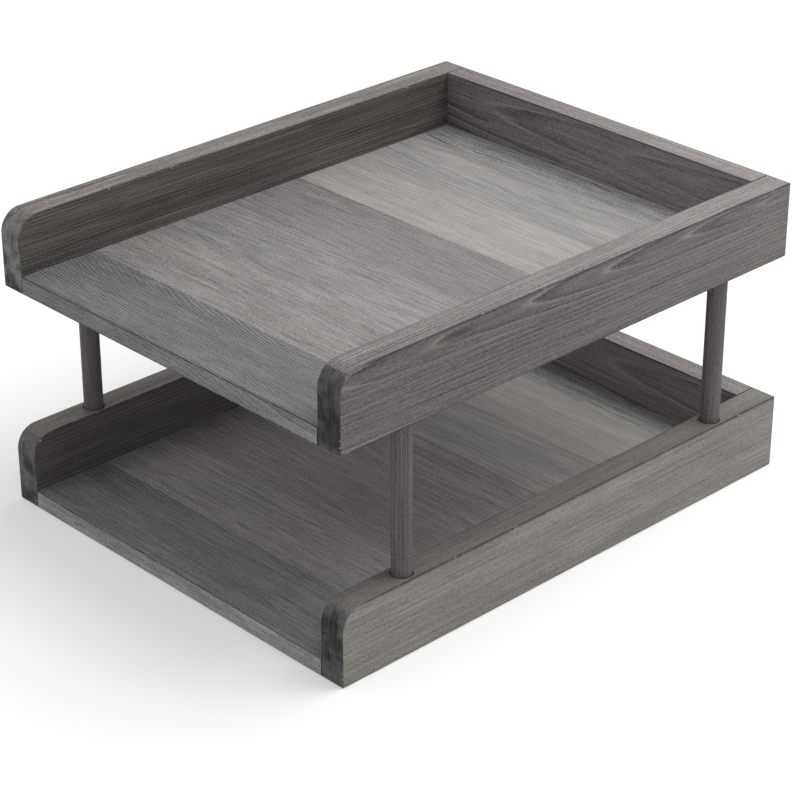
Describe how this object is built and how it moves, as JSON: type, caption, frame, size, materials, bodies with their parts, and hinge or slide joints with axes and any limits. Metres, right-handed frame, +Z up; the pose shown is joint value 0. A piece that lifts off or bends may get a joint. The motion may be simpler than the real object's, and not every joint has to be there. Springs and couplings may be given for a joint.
{
  "type": "letter tray",
  "caption": "Two-tier wooden letter tray: two open-fronted trays with staved floors, one above the other on round posts that lift out of blind sockets.",
  "frame": {"origin": "middle of the underside of the lower tray", "axes": "+Z up, -Y towards the open front where paper goes in, +X to the right seen from the front"},
  "size_m": [0.277, 0.347, 0.1815],
  "materials": {
    "rail": "matt weathered grey stain, rubbed lighter on the arrises",
    "stave_1": "matt grey stain, open straight grain",
    "stave_2": "matt grey stain, open straight grain",
    "stave_3": "matt grey stain, open straight grain",
    "stave_4": "matt grey stain, open straight grain",
    "stave_5": "matt grey stain, open straight grain",
    "stave_6": "matt grey stain, open straight grain",
    "stave_7": "matt grey stain, open straight grain",
    "post": "matt grey stain, grain along the post",
    "pin": "bare wood"
  },
  "bodies": {
    "lower_tray": {"lower_left_rail": "rail", "lower_right_rail": "rail", "lower_back_rail": "rail", "lower_floor_stave_1": "stave_1", "lower_floor_stave_2": "stave_2", "lower_floor_stave_3": "stave_3", "lower_floor_stave_4": "stave_4", "lower_floor_stave_5": "stave_5", "lower_floor_stave_6": "stave_6", "lower_floor_stave_7": "stave_7", "lower_joint_pins": "pin"},
    "front_left_post": {"post_front_left": "post"},
    "front_right_post": {"post_front_right": "post"},
    "back_left_post": {"post_back_left": "post"},
    "back_right_post": {"post_back_right": "post"},
    "upper_tray": {"upper_left_rail": "rail", "upper_right_rail": "rail", "upper_back_rail": "rail", "upper_floor_stave_1": "stave_1", "upper_floor_stave_2": "stave_2", "upper_floor_stave_3": "stave_3", "upper_floor_stave_4": "stave_4", "upper_floor_stave_5": "stave_5", "upper_floor_stave_6": "stave_6", "upper_floor_stave_7": "stave_7", "upper_joint_pins": "pin"}
  },
  "joints": [
    {"name": "front_left_post_lift", "type": "slide", "parent": "lower_tray", "child": "front_left_post", "axis": [0, 0, 1], "range_m": [0, 0.06]},
    {"name": "front_right_post_lift", "type": "slide", "parent": "lower_tray", "child": "front_right_post", "axis": [0, 0, 1], "range_m": [0, 0.06]},
    {"name": "back_left_post_lift", "type": "slide", "parent": "lower_tray", "child": "back_left_post", "axis": [0, 0, 1], "range_m": [0, 0.06]},
    {"name": "back_right_post_lift", "type": "slide", "parent": "lower_tray", "child": "back_right_post", "axis": [0, 0, 1], "range_m": [0, 0.06]},
    {"name": "upper_tray_lift", "type": "slide", "parent": "front_left_post", "child": "upper_tray", "axis": [0, 0, 1], "range_m": [0, 0.06]}
  ],
  "couplings": [
    {"joint": "front_right_post_lift", "follows": "front_left_post_lift", "ratio": 1},
    {"joint": "back_left_post_lift", "follows": "front_left_post_lift", "ratio": 1},
    {"joint": "back_right_post_lift", "follows": "front_left_post_lift", "ratio": 1}
  ]
}
